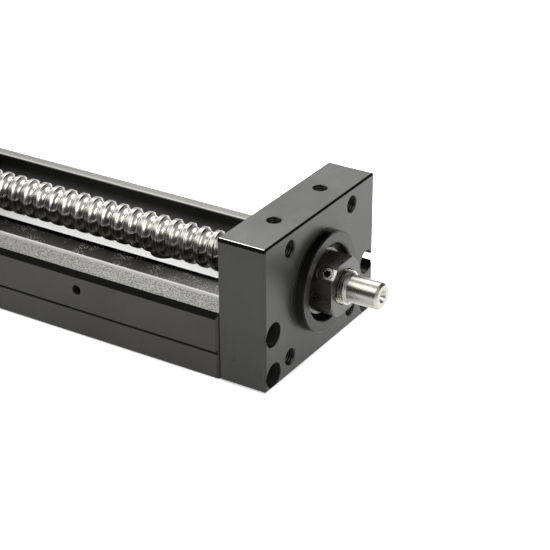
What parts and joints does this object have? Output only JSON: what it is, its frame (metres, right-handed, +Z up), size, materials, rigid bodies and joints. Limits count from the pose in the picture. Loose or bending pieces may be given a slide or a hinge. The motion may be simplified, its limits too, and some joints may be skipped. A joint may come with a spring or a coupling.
{
  "type": "ball screw linear module",
  "caption": "Single-axis linear module: U-shaped steel rail, ball screw with bare drive journal, end blocks and a recirculating ball carriage.",
  "frame": {"origin": "middle of the rail underside, the face that is bolted down", "axes": "+X along the rail toward the drive end, +Y across the rail, +Z up away from the mounting face"},
  "size_m": [0.351, 0.06, 0.048],
  "materials": {
    "rail_steel": "satin black treated steel, ground bright on the running faces",
    "block_black": "satin black treated steel",
    "black_oxide": "black oxide steel",
    "nut_black": "black oxide steel, lightly oiled",
    "screw_steel": "ground bright",
    "bearing_steel": "fine ground",
    "ball_steel": "polished",
    "brass": "satin",
    "carriage_steel": "ground steel, satin",
    "black_plastic": "matte",
    "white_plastic": "matte",
    "rubber": "matte",
    "zinc": "bright"
  },
  "bodies": {
    "base": {"base_rail": "rail_steel", "drive_end_block": "block_black", "drive_block_screws": "black_oxide", "front_bearing_outer_ring": "bearing_steel", "rear_bearing_outer_ring": "bearing_steel", "bearing_cover": "block_black", "bearing_cover_screws": "black_oxide", "drive_stop_bumper": "rubber", "idle_end_block": "block_black", "idle_block_screws": "black_oxide", "idle_bearing_outer_ring": "bearing_steel", "idle_bearing_shields": "bearing_steel", "idle_end_cap": "black_plastic", "idle_stop_bumper": "rubber"},
    "carriage": {"carriage_block": "carriage_steel", "ball_nut": "bearing_steel", "screw_balls": "ball_steel", "ball_deflectors": "white_plastic", "nut_wipers": "white_plastic", "nut_lock_screws": "black_oxide", "guide_balls": "ball_steel", "carriage_end_plates": "black_plastic", "carriage_end_seals": "rubber", "carriage_end_screws": "zinc", "grease_nipple": "brass"},
    "screw": {"ball_screw": "screw_steel", "lock_nut": "nut_black", "lock_nut_set_screws": "zinc", "lock_nut_pads": "brass", "front_spacer_collar": "bearing_steel", "rear_spacer_collar": "bearing_steel", "front_bearing_inner_ring": "bearing_steel", "rear_bearing_inner_ring": "bearing_steel", "idle_bearing_inner_ring": "bearing_steel", "idle_circlip": "black_oxide"},
    "front_ball_set": {"front_bearing_balls": "ball_steel", "front_bearing_cage": "brass"},
    "rear_ball_set": {"rear_bearing_balls": "ball_steel", "rear_bearing_cage": "brass"},
    "idle_ball_set": {"idle_bearing_balls": "ball_steel"}
  },
  "joints": [
    {"name": "carriage_slide", "type": "slide", "parent": "base", "child": "carriage", "axis": [1, 0, 0], "range_m": [-0.0845, 0.1195]},
    {"name": "screw_spin", "type": "hinge", "parent": "base", "child": "screw", "pos_m": [0, 0, 0.023], "axis": [1, 0, 0], "range_deg": [-8610, 6090]},
    {"name": "front_cage_spin", "type": "hinge", "parent": "base", "child": "front_ball_set", "pos_m": [0.16, 0, 0.023], "axis": [1, 0, 0], "range_deg": [-3170, 2245]},
    {"name": "rear_cage_spin", "type": "hinge", "parent": "base", "child": "rear_ball_set", "pos_m": [0.152, 0, 0.023], "axis": [1, 0, 0], "range_deg": [-3170, 2245]},
    {"name": "idle_cage_spin", "type": "hinge", "parent": "base", "child": "idle_ball_set", "pos_m": [-0.1585, 0, 0.023], "axis": [1, 0, 0], "range_deg": [-3170, 2245]}
  ],
  "couplings": [
    {"joint": "screw_spin", "follows": "carriage_slide", "rad_per_m": -1256.6},
    {"joint": "front_cage_spin", "follows": "carriage_slide", "rad_per_m": -462.09},
    {"joint": "rear_cage_spin", "follows": "carriage_slide", "rad_per_m": -462.09},
    {"joint": "idle_cage_spin", "follows": "carriage_slide", "rad_per_m": -462.07}
  ]
}
